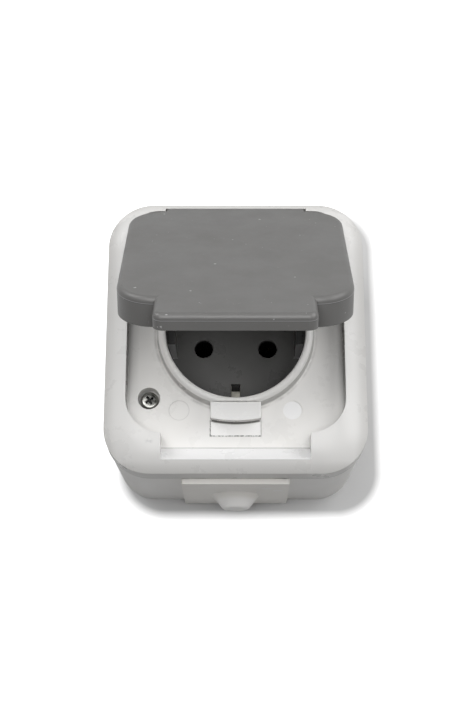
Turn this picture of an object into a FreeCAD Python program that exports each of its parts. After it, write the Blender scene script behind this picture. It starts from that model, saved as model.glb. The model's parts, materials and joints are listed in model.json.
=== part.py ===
"""Surface-mounted weatherproof socket outlet with a hinged lid, lying on its back.

Frame: +Z points out of the wall, +Y up the wall towards the hinge, +X to the right seen from
the front. The origin is the centre of the base's back face. Millimetres and degrees.
The lid is drawn closed about its hinge axis and placed at the opening it rests at.
"""
import FreeCAD, Part
import math
import os
import re
import Sketcher

from FreeCAD import Vector

SIZES = {
    # housing outline and levels
    "housing_width": 74.2,
    "housing_length": 81.0,
    "housing_corner": 13.2,
    "seam_height": 34.5,
    "seam_gap": 0.2,
    # base
    "base_draft_inset": 1.1,
    "base_wall": 2.4,
    "base_floor": 2.5,
    "base_step_in": 0.2,
    "tongue_height": 0.9,
    "pillar_radius": 4.2,
    "pillar_gap": 0.2,
    "pillar_rib": 1.5,
    "pillar_rib_drop": 5.0,
    "wall_hole_diameter": 4.6,
    "wall_slot_length": 8.0,
    "wall_boss_radius": 5.0,
    "wall_boss_height": 1.5,
    "post_radius": 3.0,
    "post_height": 1.3,
    "knockout_radius": 9.5,
    "knockout_groove": 0.6,
    "knockout_height": 18.0,
    "knockout_depth": 0.4,
    # cover
    "cover_wall": 1.6,
    "cover_band": 6.1,
    "crown_radius": 16.5,
    "crown_slope": 42.0,
    "field_sink": 6.338,
    "field_thickness": 2.0,
    "recess_taper_inset": 0.3,
    "recess_back_margin": 2.5,
    "recess_back_corner": 9.0,
    "recess_core_depth": 3.4,
    "recess_core_length": 13.0,
    "recess_core_pitch": 14.6,
    "sill_reach": 3.0,
    "sill_slope": 47.0,
    "mark_diameter": 5.7,
    "mark_spread": 16.05,
    "mark_reach": 22.7,
    "mark_depth": 0.15,
    # socket well and its collar
    "socket_centre": 1.0,
    "well_depth": 17.5,
    "well_radius": 19.65,
    "well_wall": 1.35,
    "well_foot_round": 0.8,
    "well_flange": 1.0,
    "well_flange_thickness": 1.3,
    "collar_rise": 4.0,
    "collar_inner_radius": 19.9,
    "collar_foot_radius": 22.45,
    "collar_top_radius": 22.2,
    "collar_round": 1.6,
    "collar_inner_round": 0.5,
    "collar_foot_round": 0.7,
    "collar_lip": 1.5,
    "insert_floor": 2.0,
    "insert_clearance": 0.3,
    "pin_spacing": 19.0,
    "pin_hole_diameter": 5.5,
    "pin_hole_lead": 0.2,
    "pin_tube_wall": 1.0,
    "pin_tube_length": 5.0,
    "guide_spacing": 34.8,
    "guide_width": 5.8,
    "guide_drop": 4.0,
    "earth_slot_width": 2.8,
    "earth_slot_start": 10.9,
    "earth_slot_drop": 1.4,
    # lid
    "lid_side_margin": 6.6,
    "lid_front_margin": 11.2,
    "lid_back_margin": 6.4,
    "lid_corner": 10.0,
    "lid_rise": 4.6,
    "lid_plate": 1.6,
    "lid_foot_gap": 0.8,
    "lid_wall": 1.5,
    "lid_gap": 0.5,
    "lid_edge_round": 1.4,
    "grip_inset": 10.1,
    "grip_reach": 10.2,
    "grip_depth": 4.3,
    "grip_corner": 2.4,
    "grip_wall": 1.2,
    "hinge_tab_inset": 10.4,
    "hinge_tab_reach": 2.2,
    "hinge_tab_thickness": 2.2,
    "hook_reach": 1.5,
    "hook_low": 0.6,
    "hook_edge": 1.2,
    "hook_high": 2.6,
    "hook_side_gap": 1.0,
    # hinge
    "hinge_inset": 7.75,
    "hinge_rise": 4.3,
    "pin_diameter": 2.5,
    "pin_length": 30.4,
    "pin_chamfer": 0.3,
    "pin_clearance": 0.05,
    "lug_radius": 2.3,
    "lug_inner": 6.0,
    "lug_width": 4.0,
    "knuckle_radius": 2.5,
    "knuckle_width": 6.2,
    "knuckle_gap": 0.3,
    "knuckle_bay_gap": 1.5,
    "lid_open_angle": 46.0,
    # lid seal
    "seal_inner_radius": 20.3,
    "seal_outer_radius": 22.1,
    "seal_standoff": 0.3,
    "seal_rib": 1.0,
    "seal_rib_depth": 1.6,
    # latch insert
    "latch_width": 14.4,
    "latch_back": 21.0,
    "latch_sill_margin": 3.55,
    "latch_gap": 0.1,
    "latch_nose_share": 0.53,
    "latch_nose_height": 3.7,
    "latch_ledge": 1.7,
    "latch_undercut": 0.6,
    "latch_bow_radius": 32.0,
    "latch_edge_round": 0.4,
    "latch_clip": 0.9,
    "latch_clip_thickness": 1.2,
    "latch_clip_back": 1.7,
    "latch_clip_front": 0.6,
    # cover screws
    "screw_side_margin": 12.5,
    "screw_reach": 19.2,
    "screw_head_diameter": 5.2,
    "screw_head_height": 1.9,
    "screw_head_round": 0.7,
    "screw_head_drop": 1.9,
    "screw_shank_diameter": 3.4,
    "screw_shank_length": 13.5,
    "screw_bore_depth": 15.0,
    "cross_length": 3.4,
    "cross_width": 1.0,
    "cross_depth": 1.1,
    "counterbore_diameter": 6.4,
    "screw_boss_radius": 4.4,
    "screw_boss_floor": 2.6,
    # cable entry plate
    "gland_width": 30.6,
    "gland_bottom": 2.4,
    "gland_drop": 0.5,
    "gland_corner": 0.8,
    "gland_thickness": 1.5,
    "gland_overlap": 2.2,
    "gland_gap": 0.15,
    "gland_lip_thickness": 1.2,
    "gland_lip_inset": 0.8,
    "dome_foot_radius": 7.0,
    "dome_tip_radius": 3.7,
    "dome_reach": 4.1,
    "dome_round": 1.6,
    "dome_height": 15.6,
    "dome_skin": 1.0,
    # contact block and terminals
    "block_width": 37.0,
    "block_length": 28.0,
    "block_corner": 3.0,
    "block_screw_inset": 3.3,
    "block_screw_reach": 8.0,
    "block_screw_drop": 12.0,
    "chamber_width": 7.6,
    "chamber_floor": 1.6,
    "sleeve_bore": 4.7,
    "sleeve_wall": 0.7,
    "sleeve_drop": 5.4,
    "sleeve_slit": 1.0,
    "terminal_chamber_depth": 11.0,
    "terminal_chamber_length": 8.0,
    "terminal_size": 6.4,
    "terminal_gap": 0.4,
    "terminal_height": 7.0,
    "terminal_reach": 8.2,
    "wire_hole": 3.0,
    "wire_hole_rise": 0.8,
    "terminal_screw_diameter": 3.0,
    "terminal_screw_length": 4.4,
    "terminal_screw_proud": 1.0,
    "slot_width": 0.6,
    "slot_depth": 0.8,
    # earth strap, its clamp and screw
    "strap_width": 2.4,
    "strap_thickness": 0.7,
    "strap_pad": 8.0,
    "strap_bay_depth": 4.2,
    "clamp_thickness": 1.0,
    "clamp_gap": 0.5,
    "earth_screw_drop": 0.3,
    "earth_screw_length": 6.0,
    "earth_bore_depth": 10.0,
    "clip_foot": 18.4,
    "clip_nose": 16.2,
    "clip_tip": 19.3,
    "clip_straight": 5.0,
    "clip_nose_height": 11.5,
    "clip_tip_height": 13.6,
    "clip_tip_rise": 0.2,
    "clip_bend": 0.9,
    "clip_nose_bend": 1.4,
    # how far a cut runs past the face it opens
    "cut_past": 1.0,
}

# Two edges this close lie at one level.
SAME_LEVEL = 1e-4
# An arc of half a turn is drawn this much wider, so that its side is certain.
HALF_TURN = 1.0001

document = FreeCAD.newDocument("WeatherproofSocket")
sheet = document.addObject("Spreadsheet::Sheet", "Sizes")


def fill_sheet():
    """Write every driving size into the spreadsheet under its alias."""
    for row, (name, value) in enumerate(SIZES.items(), start=1):
        sheet.set(f"A{row}", name)
        sheet.set(f"B{row}", str(value))
        sheet.setAlias(f"B{row}", name)
    document.recompute()


def bound(text):
    """Expression text with each size name pointing at its cell."""
    return re.sub(r"\b([a-z]+(?:_[a-z]+)+)\b", lambda found: "Sizes." + found.group(1), str(text))


def value(text):
    """Present value of an expression in the sheet's sizes."""
    return float(sheet.evalExpression(bound(text)))


class Corner:
    """A vertex that is rounded to a radius."""

    def __init__(self, x, y, radius):
        self.x, self.y, self.radius = x, y, radius


class Bow:
    """A vertex whose edge to the next vertex is an arc; side +1 puts the centre on its left."""

    def __init__(self, x, y, radius, side):
        self.x, self.y, self.radius, self.side = x, y, radius, side


def make_body(name):
    body = document.addObject("PartDesign::Body", name)
    body.Label = name
    return body


def origin_plane(body, role):
    return next(item for item in body.Origin.OriginFeatures if item.Role == role)


def sketch_on(body, role, offset="0"):
    """Empty sketch on one of the body's origin planes, moved along the plane's normal."""
    sketch = body.newObject("Sketcher::SketchObject", body.Label + "_sketch")
    sketch.AttachmentSupport = [(origin_plane(body, role), "")]
    sketch.MapMode = "FlatFace"
    sketch.setExpression("AttachmentOffset.Base.z", bound(offset))
    return sketch


def bind(sketch, constraint, expression):
    """Add a dimension and tie it to the sheet."""
    index = sketch.addConstraint(constraint)
    sketch.setExpression(f"Constraints[{index}]", bound(expression))


def pin_point(sketch, geometry, place, x, y):
    """Fix a point's coordinates, from the sheet."""
    point = sketch.getPoint(geometry, place)
    bind(sketch, Sketcher.Constraint("DistanceX", -1, 1, geometry, place, point.x), x)
    bind(sketch, Sketcher.Constraint("DistanceY", -1, 1, geometry, place, point.y), y)


def arc_through(start, end, radius, side):
    """Arc of a radius from start to end, with its centre left (+1) or right (-1) of the chord."""
    chord = end - start
    half = chord.Length / 2
    height = math.sqrt(radius ** 2 - half ** 2)
    left = Vector(-chord.y, chord.x, 0).normalize()
    centre = (start + end) * 0.5 + left * height * side
    crest = centre - left * radius * side
    return Part.Arc(start, crest, end)


def outline(sketch, vertices):
    """Closed outline through vertices: plain (x, y) pairs, Corner and Bow, all bound."""
    count = len(vertices)
    spots = []
    for vertex in vertices:
        x, y = (vertex.x, vertex.y) if isinstance(vertex, (Corner, Bow)) else vertex
        spots.append((x, y, Vector(value(x), value(y), 0)))
    ends = []
    for index, vertex in enumerate(vertices):
        here = spots[index][2]
        if isinstance(vertex, Corner):
            before = (spots[index - 1][2] - here).normalize()
            after = (spots[(index + 1) % count][2] - here).normalize()
            half_angle = before.getAngle(after) / 2
            reach = value(vertex.radius) / math.tan(half_angle)
            ends.append((here + before * reach, here + after * reach))
        else:
            ends.append((here, here))
    edges = []
    for index, vertex in enumerate(vertices):
        start, end = ends[index][1], ends[(index + 1) % count][0]
        if isinstance(vertex, Bow):
            shape = arc_through(start, end, value(vertex.radius), vertex.side)
            edges.append(sketch.addGeometry(shape, False))
        else:
            edges.append(sketch.addGeometry(Part.LineSegment(start, end), False))
    for index, vertex in enumerate(vertices):
        join_edges(sketch, vertex, spots[index], ends[index], edges[index - 1], edges[index],
                   vertices[index - 1])
    for index, vertex in enumerate(vertices):
        if isinstance(vertex, Bow):
            size = value(vertex.radius)
            bind(sketch, Sketcher.Constraint("Radius", edges[index], size), vertex.radius)


def end_place(sketch, edge, point):
    """Which end of an edge lies at a point: 1 start, 2 end."""
    start = sketch.getPoint(edge, 1)
    return 1 if start.distanceToPoint(point) < sketch.getPoint(edge, 2).distanceToPoint(point) else 2


def join_edges(sketch, vertex, spot, end_pair, edge_in, edge_out, previous):
    """Join two edges at a vertex, with an arc between them where it is a Corner."""
    x, y, here = spot
    place_in = end_place(sketch, edge_in, end_pair[0])
    place_out = end_place(sketch, edge_out, end_pair[1])
    if not isinstance(vertex, Corner):
        sketch.addConstraint(Sketcher.Constraint("Coincident", edge_in, place_in, edge_out, place_out))
        pin_point(sketch, edge_out, place_out, x, y)
        return
    radius = value(vertex.radius)
    inward = ((end_pair[0] - here) + (end_pair[1] - here)).normalize()
    half_angle = (end_pair[0] - here).getAngle(end_pair[1] - here) / 2
    crest = here + inward * (radius / math.sin(half_angle) - radius)
    arc = sketch.addGeometry(Part.Arc(end_pair[0], crest, end_pair[1]), False)
    arc_in = end_place(sketch, arc, end_pair[0])
    sketch.addConstraint(Sketcher.Constraint("Tangent", edge_in, place_in, arc, arc_in))
    sketch.addConstraint(Sketcher.Constraint("Tangent", arc, 3 - arc_in, edge_out, place_out))
    bind(sketch, Sketcher.Constraint("Radius", arc, radius), vertex.radius)
    corner = sketch.addGeometry(Part.Point(here), True)
    sketch.addConstraint(Sketcher.Constraint("PointOnObject", corner, 1, edge_in))
    sketch.addConstraint(Sketcher.Constraint("PointOnObject", corner, 1, edge_out))
    pin_point(sketch, corner, 1, x, y)


def circle(sketch, x, y, radius):
    """Circle with its centre and radius bound."""
    centre = Vector(value(x), value(y), 0)
    item = sketch.addGeometry(Part.Circle(centre, Vector(0, 0, 1), value(radius)), False)
    pin_point(sketch, item, 3, x, y)
    bind(sketch, Sketcher.Constraint("Radius", item, value(radius)), radius)


def rectangle(sketch, left, right, low, high):
    outline(sketch, [(left, low), (right, low), (right, high), (left, high)])


def rounded_box(sketch, half_width, low, high, radius):
    """Rounded rectangle about the Y axis; the right side is split so that a sweep starts there."""
    outline(sketch, [
        (half_width, "0"),
        Corner(half_width, high, radius),
        Corner(f"-({half_width})", high, radius),
        Corner(f"-({half_width})", low, radius),
        Corner(half_width, low, radius),
    ])


def extrude(body, kind, sketch, length, back=False, both=False):
    """Pad or Pocket of a bound length along the sketch's normal."""
    feature = body.newObject("PartDesign::" + kind, body.Label + "_" + kind.lower())
    feature.Profile = sketch
    feature.setExpression("Length", bound(length))
    feature.Reversed = back
    if both:
        feature.SideType = "Symmetric"
    sketch.Visibility = False
    return feature


def pad(body, sketch, length, back=False, both=False):
    return extrude(body, "Pad", sketch, length, back, both)


def pocket(body, sketch, length, back=False, both=False):
    return extrude(body, "Pocket", sketch, length, back, both)


def turned(body, kind, sketch):
    """Revolution or Groove about the sketch's vertical axis."""
    feature = body.newObject("PartDesign::" + kind, body.Label + "_" + kind.lower())
    feature.Profile = sketch
    feature.ReferenceAxis = (sketch, ["V_Axis"])
    feature.Angle = 360
    return feature


def lofted(body, kind, first, second):
    """Ruled loft, added or cut, between two sketches."""
    feature = body.newObject("PartDesign::" + kind, body.Label + "_loft")
    feature.Profile = first
    feature.Sections = [second]
    feature.Ruled = True
    return feature


def mirrored(body, features, role):
    """Mirror features about one of the body's origin planes."""
    mirror = body.newObject("PartDesign::Mirrored", body.Label + "_mirror")
    mirror.Originals = features
    mirror.MirrorPlane = (origin_plane(body, role), [""])
    body.Tip = mirror
    return mirror


def dressed(body, kind, base, names, size):
    """Fillet or Chamfer on named edges of the latest feature."""
    feature = body.newObject("PartDesign::" + kind, body.Label + "_" + kind.lower())
    feature.Base = (base, names)
    feature.setExpression("Radius" if kind == "Fillet" else "Size", bound(size))
    return feature


def edges_where(feature, test):
    """Names of a feature's edges whose bounding box passes a test."""
    document.recompute()
    return [f"Edge{number}" for number, edge in enumerate(feature.Shape.Edges, start=1)
            if test(edge.BoundBox, edge)]


def flat_at(height):
    """Test for edges that lie wholly at one level."""
    level = value(height)
    return lambda box, edge: max(abs(box.ZMin - level), abs(box.ZMax - level)) < SAME_LEVEL


# Worked-out places that several sub-parts share.
HALF_WIDTH = "(housing_width / 2)"
HALF_LENGTH = "(housing_length / 2)"
BASE_HALF_WIDTH = "(housing_width / 2 - base_step_in)"
BASE_HALF_LENGTH = "(housing_length / 2 - base_step_in)"
BASE_TOP = "(seam_height - seam_gap)"
TONGUE_TOP = "(seam_height - seam_gap + tongue_height)"
TONGUE_INSET = "(cover_wall + insert_clearance / 2)"
CAVITY_INSET = "(base_step_in + base_wall)"
BAND_TOP = "(seam_height + cover_band)"
CROWN_TOP = "(seam_height + cover_band + crown_radius * (1 - cos(crown_slope)))"
CROWN_REACH = "(crown_radius * sin(crown_slope))"
FIELD = f"({CROWN_TOP} - field_sink)"
FIELD_UNDER = f"({FIELD} - field_thickness)"
COLLAR_TOP = f"({FIELD} + collar_rise)"
INSERT_TOP = f"({COLLAR_TOP} - collar_lip)"
INSERT_OUTER = "(well_radius + well_wall)"
WELL_FLOOR = f"({COLLAR_TOP} - well_depth)"
BLOCK_TOP = f"({WELL_FLOOR} - insert_floor)"
BLOCK_BOTTOM = "(base_floor + post_height)"
CHAMBER_DEPTH = f"({BLOCK_TOP} - {BLOCK_BOTTOM} - chamber_floor)"
LID_HALF = f"({HALF_WIDTH} - lid_side_margin)"
LID_FRONT = f"(lid_front_margin - {HALF_LENGTH})"
LID_BACK = f"({HALF_LENGTH} - lid_back_margin)"
LID_DEPTH = "(hinge_rise + lid_rise - lid_foot_gap)"
GRIP_HALF = f"({LID_HALF} - grip_inset)"
HINGE_TAB_HALF = f"({LID_HALF} - hinge_tab_inset)"
HINGE_Y = f"({HALF_LENGTH} - hinge_inset)"
HINGE_Z = f"({FIELD} + hinge_rise)"
RECESS_HALF = f"({LID_HALF} + lid_gap)"
RECESS_FRONT = f"({LID_FRONT} - lid_gap)"
RECESS_BACK = f"({HALF_LENGTH} - recess_back_margin)"
RECESS_CORNER = "(lid_corner + lid_gap)"
SILL_FOOT = f"({RECESS_FRONT} - sill_reach)"
SCREW_X = f"({HALF_WIDTH} - screw_side_margin)"
SCREW_LOW_Y = "(socket_centre - screw_reach)"
SCREW_HIGH_Y = "(socket_centre + screw_reach)"
SCREW_SEAT = f"({FIELD} - screw_head_drop - screw_head_height)"
BOSS_BOTTOM = f"({SCREW_SEAT} - screw_boss_floor)"
PILLAR_TOP = f"({BOSS_BOTTOM} - pillar_gap)"
LATCH_BACK = "(socket_centre - latch_back)"
LATCH_FRONT = f"({SILL_FOOT} + latch_sill_margin)"
LATCH_NOSE = f"({LATCH_BACK} - latch_nose_share * ({LATCH_BACK} - {LATCH_FRONT}))"
GLAND_TOP = f"({BASE_TOP} - gland_drop)"
GLAND_NECK_HALF = "(gland_width / 2 - gland_overlap - gland_gap)"
TERMINAL_MIDDLE = "(socket_centre - terminal_reach)"
TERMINAL_FLOOR = f"({BLOCK_TOP} - terminal_chamber_depth + sleeve_wall)"
TERMINAL_TOP = f"({TERMINAL_FLOOR} + terminal_height)"
WIRE_HEIGHT = f"({TERMINAL_FLOOR} + wire_hole / 2 + wire_hole_rise)"
BLOCK_SCREW_X = "(block_width / 2 - block_screw_inset)"
BLOCK_SCREW_SEAT = f"({BLOCK_TOP} - block_screw_drop)"
STRAP_UNDER = f"({BLOCK_TOP} - strap_thickness)"
CLAMP_TOP = f"({STRAP_UNDER} - clamp_gap)"
LOWER_SCREW = (f"(-{SCREW_X})", SCREW_LOW_Y)
UPPER_SCREW = (SCREW_X, SCREW_HIGH_Y)


def base_box():
    """Open back box: drafted walls, a stepped rim, pillars, posts, wall holes, an entry window."""
    body = make_body("base_box")
    foot = sketch_on(body, "XY_Plane")
    housing_outline(foot, "(base_step_in + base_draft_inset)")
    rim = sketch_on(body, "XY_Plane", BASE_TOP)
    housing_outline(rim, "base_step_in")
    lofted(body, "AdditiveLoft", foot, rim)
    tongue = sketch_on(body, "XY_Plane", BASE_TOP)
    housing_outline(tongue, TONGUE_INSET)
    pad(body, tongue, "tongue_height")

    floor = sketch_on(body, "XY_Plane", "base_floor")
    housing_outline(floor, f"({CAVITY_INSET} + base_draft_inset)")
    mouth = sketch_on(body, "XY_Plane", f"{TONGUE_TOP} + cut_past")
    housing_outline(mouth, CAVITY_INSET)
    lofted(body, "SubtractiveLoft", floor, mouth)

    for side, y in ((-1, SCREW_LOW_Y), (1, SCREW_HIGH_Y)):
        pillar(body, side, y)
    for side in (-1, 1):
        block_posts(body, side)
    wall_fixings(body)

    window = sketch_on(body, "XZ_Plane", f"{HALF_LENGTH} + cut_past")
    window_half = "(gland_width / 2 - gland_overlap)"
    rectangle(window, f"-{window_half}", window_half, "gland_bottom + gland_overlap",
              f"{TONGUE_TOP} + cut_past")
    pocket(body, window, "cut_past + 2 * base_wall + base_draft_inset")

    knockout = sketch_on(body, "XZ_Plane", f"-{BASE_HALF_LENGTH}")
    circle(knockout, "0", "knockout_height", "knockout_radius")
    circle(knockout, "0", "knockout_height", "knockout_radius - knockout_groove")
    pocket(body, knockout, "base_draft_inset + knockout_depth", back=True)
    return body


def housing_outline(sketch, inset):
    """The housing's rounded outline, drawn in by an inset."""
    rounded_box(sketch, f"({HALF_WIDTH} - {inset})", f"-({HALF_LENGTH} - {inset})",
                f"({HALF_LENGTH} - {inset})", f"(housing_corner - {inset})")


def pillar(body, side, y):
    """Screw pillar for the cover, tied to the side wall by a rib."""
    x = f"({side} * {SCREW_X})"
    rib = sketch_on(body, "XY_Plane", "base_floor / 2")
    wall_middle = f"({side} * ({BASE_HALF_WIDTH} - base_wall))"
    low, high = f"{y} - pillar_rib / 2", f"{y} + pillar_rib / 2"
    left, right = (x, wall_middle) if side > 0 else (wall_middle, x)
    rectangle(rib, left, right, low, high)
    pad(body, rib, f"{PILLAR_TOP} - pillar_rib_drop - base_floor / 2")
    column = sketch_on(body, "XY_Plane", "base_floor / 2")
    circle(column, x, y, "pillar_radius")
    pad(body, column, f"{PILLAR_TOP} - base_floor / 2")
    bore = sketch_on(body, "XY_Plane", PILLAR_TOP)
    circle(bore, x, y, "screw_shank_diameter / 2 + pin_clearance")
    pocket(body, bore, "screw_bore_depth")


def block_posts(body, side):
    """Two low posts for the contact block, the one nearer the hinge bored for its screw."""
    x = f"({side} * {BLOCK_SCREW_X})"
    for reach in ("-block_screw_reach", "+ block_screw_reach"):
        post = sketch_on(body, "XY_Plane", "base_floor / 2")
        circle(post, x, f"socket_centre {reach}", "post_radius")
        pad(body, post, f"{BLOCK_BOTTOM} - base_floor / 2")
    bore = sketch_on(body, "XY_Plane", BLOCK_BOTTOM)
    circle(bore, x, "socket_centre + block_screw_reach", "terminal_screw_diameter / 2 + pin_clearance")
    pocket(body, bore, f"{BLOCK_BOTTOM} - base_floor / 2")


def wall_fixings(body):
    """Round hole and sideways slot for the wall screws, each in a raised boss."""
    for x, y in ((SCREW_X, SCREW_LOW_Y), (f"(-{SCREW_X})", SCREW_HIGH_Y)):
        boss = sketch_on(body, "XY_Plane", "base_floor / 2")
        circle(boss, x, y, "wall_boss_radius")
        pad(body, boss, "base_floor / 2 + wall_boss_height")
    slot = sketch_on(body, "XY_Plane")
    radius = "(wall_hole_diameter / 2)"
    reach = "((wall_slot_length - wall_hole_diameter) / 2)"
    outline(slot, [
        (f"{SCREW_X} - {reach}", f"{SCREW_LOW_Y} - {radius}"),
        Bow(f"{SCREW_X} + {reach}", f"{SCREW_LOW_Y} - {radius}", f"{radius} * {HALF_TURN}", 1),
        (f"{SCREW_X} + {reach}", f"{SCREW_LOW_Y} + {radius}"),
        Bow(f"{SCREW_X} - {reach}", f"{SCREW_LOW_Y} + {radius}", f"{radius} * {HALF_TURN}", 1),
    ])
    pocket(body, slot, "base_floor + wall_boss_height", back=True)
    hole = sketch_on(body, "XY_Plane")
    circle(hole, f"(-{SCREW_X})", SCREW_HIGH_Y, radius)
    pocket(body, hole, "base_floor + wall_boss_height", back=True)


def front_cover():
    """Cover: crowned frame, sunk field with collar, front notch with sill, hinge lugs, bosses."""
    body = make_body("front_cover")
    side = sketch_on(body, "XY_Plane", "seam_height")
    housing_outline(side, "0")
    pad(body, side, f"{CROWN_TOP} - seam_height")
    crown_cut(body)
    recess_cut(body)
    under_cut(body)
    collar(body)
    for x, y in (LOWER_SCREW, UPPER_SCREW):
        screw_boss(body, x, y)
    for mark_side in (-1, 1):
        mark = sketch_on(body, "XY_Plane", FIELD)
        circle(mark, f"{mark_side} * mark_spread", "socket_centre - mark_reach", "mark_diameter / 2")
        pocket(body, mark, "mark_depth")
    window = sketch_on(body, "XY_Plane", f"{COLLAR_TOP} + cut_past")
    rectangle(window, "-latch_width / 2", "latch_width / 2", LATCH_FRONT, LATCH_BACK)
    pocket(body, window, f"{COLLAR_TOP} + cut_past - seam_height")
    hinge_lugs(body)
    return body


def crown_cut(body):
    """Cut the arched crown round the frame by sweeping its section along the outline."""
    spine = sketch_on(body, "XY_Plane", BAND_TOP)
    housing_outline(spine, "0")
    section = sketch_on(body, "XZ_Plane")
    outline(section, [
        Bow(HALF_WIDTH, BAND_TOP, "crown_radius", 1),
        (f"{HALF_WIDTH} - {CROWN_REACH}", CROWN_TOP),
        (f"{HALF_WIDTH} - {CROWN_REACH}", f"{CROWN_TOP} + cut_past"),
        (f"{HALF_WIDTH} + cut_past", f"{CROWN_TOP} + cut_past"),
        (f"{HALF_WIDTH} + cut_past", BAND_TOP),
    ])
    document.recompute()
    cut = body.newObject("PartDesign::SubtractivePipe", "front_cover_crown")
    cut.Profile = section
    cut.Spine = (spine, [f"Edge{number + 1}" for number in range(len(spine.Shape.Edges))])
    cut.Mode = "Binormal"
    cut.Binormal = Vector(0, 0, 1)


def recess_cut(body):
    """Sink the field that the lid closes over, with the grip's notch, sill and the hinge bay."""
    foot = sketch_on(body, "XY_Plane", FIELD)
    recess_outline(foot, "recess_taper_inset")
    brim = sketch_on(body, "XY_Plane", f"{CROWN_TOP} + cut_past")
    recess_outline(brim, "0")
    lofted(body, "SubtractiveLoft", foot, brim)

    notch = sketch_on(body, "YZ_Plane")
    rise = "(field_sink + cut_past)"
    run = f"({rise} / tan(sill_slope))"
    outline(notch, [
        (f"{RECESS_FRONT} + lid_corner / 2", FIELD),
        (SILL_FOOT, FIELD),
        (f"{SILL_FOOT} - {run}", f"{FIELD} + {rise}"),
        (f"{RECESS_FRONT} + lid_corner / 2", f"{FIELD} + {rise}"),
    ])
    pocket(body, notch, f"2 * ({GRIP_HALF} + lid_gap)", both=True)

    bay = sketch_on(body, "XY_Plane", FIELD)
    bay_half = f"({HINGE_TAB_HALF} + lid_gap)"
    rectangle(bay, f"-{bay_half}", bay_half, f"{RECESS_BACK} - cover_wall",
              f"{HALF_LENGTH} - cover_wall")
    pocket(body, bay, "field_sink + cut_past", back=True)


def recess_outline(sketch, inset):
    """The recess that the lid sinks into, with tighter corners at the hinge where the lid swings."""
    half = f"({RECESS_HALF} - {inset})"
    outline(sketch, [
        Corner(half, f"{RECESS_FRONT} + {inset}", f"{RECESS_CORNER} - {inset}"),
        Corner(half, f"{RECESS_BACK} - {inset}", f"recess_back_corner - {inset}"),
        Corner(f"-{half}", f"{RECESS_BACK} - {inset}", f"recess_back_corner - {inset}"),
        Corner(f"-{half}", f"{RECESS_FRONT} + {inset}", f"{RECESS_CORNER} - {inset}"),
    ])


def under_cut(body):
    """Hollow the cover from below, and core the frame's sides so that no wall is thick."""
    under = sketch_on(body, "XY_Plane", "seam_height")
    housing_outline(under, "cover_wall")
    pocket(body, under, f"{FIELD_UNDER} - seam_height", back=True)
    for side in (-1, 1):
        inner = f"{side} * ({RECESS_HALF} + cover_wall)"
        outer = f"{side} * ({HALF_WIDTH} - cover_wall)"
        left, right = (inner, outer) if side > 0 else (outer, inner)
        for step in (-1, 0, 1):
            core = sketch_on(body, "XY_Plane", FIELD_UNDER)
            middle = f"({step} * recess_core_pitch)"
            rectangle(core, left, right, f"{middle} - recess_core_length / 2",
                      f"{middle} + recess_core_length / 2")
            pocket(body, core, "recess_core_depth", back=True)


def collar(body):
    """Round collar on the field, open through the cover, with a seat below for the well."""
    ring = sketch_on(body, "XZ_Plane", "-socket_centre")
    core = "(collar_inner_radius - cut_past)"
    foot_reach = "(collar_foot_radius + 2 * collar_foot_round)"
    outline(ring, [
        (core, FIELD_UNDER),
        (foot_reach, FIELD_UNDER),
        (foot_reach, FIELD),
        Corner("collar_foot_radius", FIELD, "collar_foot_round"),
        Corner("collar_top_radius", COLLAR_TOP, "collar_round"),
        (core, COLLAR_TOP),
    ])
    turned(body, "Revolution", ring)
    mouth = sketch_on(body, "XZ_Plane", "-socket_centre")
    outline(mouth, [
        ("0", "seam_height"),
        ("collar_inner_radius", "seam_height"),
        Bow("collar_inner_radius", f"{COLLAR_TOP} - collar_inner_round", "collar_inner_round", -1),
        ("collar_inner_radius + collar_inner_round", COLLAR_TOP),
        ("collar_inner_radius + collar_inner_round", f"{COLLAR_TOP} + cut_past"),
        ("0", f"{COLLAR_TOP} + cut_past"),
    ])
    turned(body, "Groove", mouth)
    seat = sketch_on(body, "XY_Plane", "seam_height")
    circle(seat, "0", "socket_centre", f"{INSERT_OUTER} + insert_clearance")
    pocket(body, seat, f"{INSERT_TOP} + insert_clearance / 2 - seam_height", back=True)


def screw_boss(body, x, y):
    """Boss under the field with a counterbore for a cover screw."""
    boss = sketch_on(body, "XY_Plane", BOSS_BOTTOM)
    circle(boss, x, y, "screw_boss_radius")
    pad(body, boss, f"{FIELD_UNDER} + field_thickness / 2 - {BOSS_BOTTOM}")
    counterbore = sketch_on(body, "XY_Plane", FIELD)
    circle(counterbore, x, y, "counterbore_diameter / 2")
    pocket(body, counterbore, f"{FIELD} - {SCREW_SEAT}")
    shank = sketch_on(body, "XY_Plane", FIELD)
    circle(shank, x, y, "screw_shank_diameter / 2 + insert_clearance")
    pocket(body, shank, f"{FIELD} - {BOSS_BOTTOM}")


def hinge_lugs(body):
    """Two round-topped lugs on the field, bored for the hinge pin."""
    lug = sketch_on(body, "YZ_Plane", "lug_inner")
    root = f"({FIELD} - field_thickness / 2)"
    outline(lug, [
        (f"{HINGE_Y} - lug_radius", root),
        (f"{HINGE_Y} + lug_radius", root),
        Bow(f"{HINGE_Y} + lug_radius", HINGE_Z, f"lug_radius * {HALF_TURN}", 1),
        (f"{HINGE_Y} - lug_radius", HINGE_Z),
    ])
    lug_pad = pad(body, lug, "lug_width")
    mirrored(body, [lug_pad], "YZ_Plane")
    pin_bore = sketch_on(body, "YZ_Plane")
    circle(pin_bore, HINGE_Y, HINGE_Z, "pin_diameter / 2")
    pocket(body, pin_bore, "2 * (lug_inner + lug_width + cut_past)", both=True)


def base_gasket():
    """Flat rubber ring between the base's tongue and the cover."""
    body = make_body("base_gasket")
    ring = sketch_on(body, "XY_Plane", TONGUE_TOP)
    for inset in (TONGUE_INSET, CAVITY_INSET):
        housing_outline(ring, inset)
    pad(body, ring, f"{FIELD_UNDER} - {TONGUE_TOP}")
    return body


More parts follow.
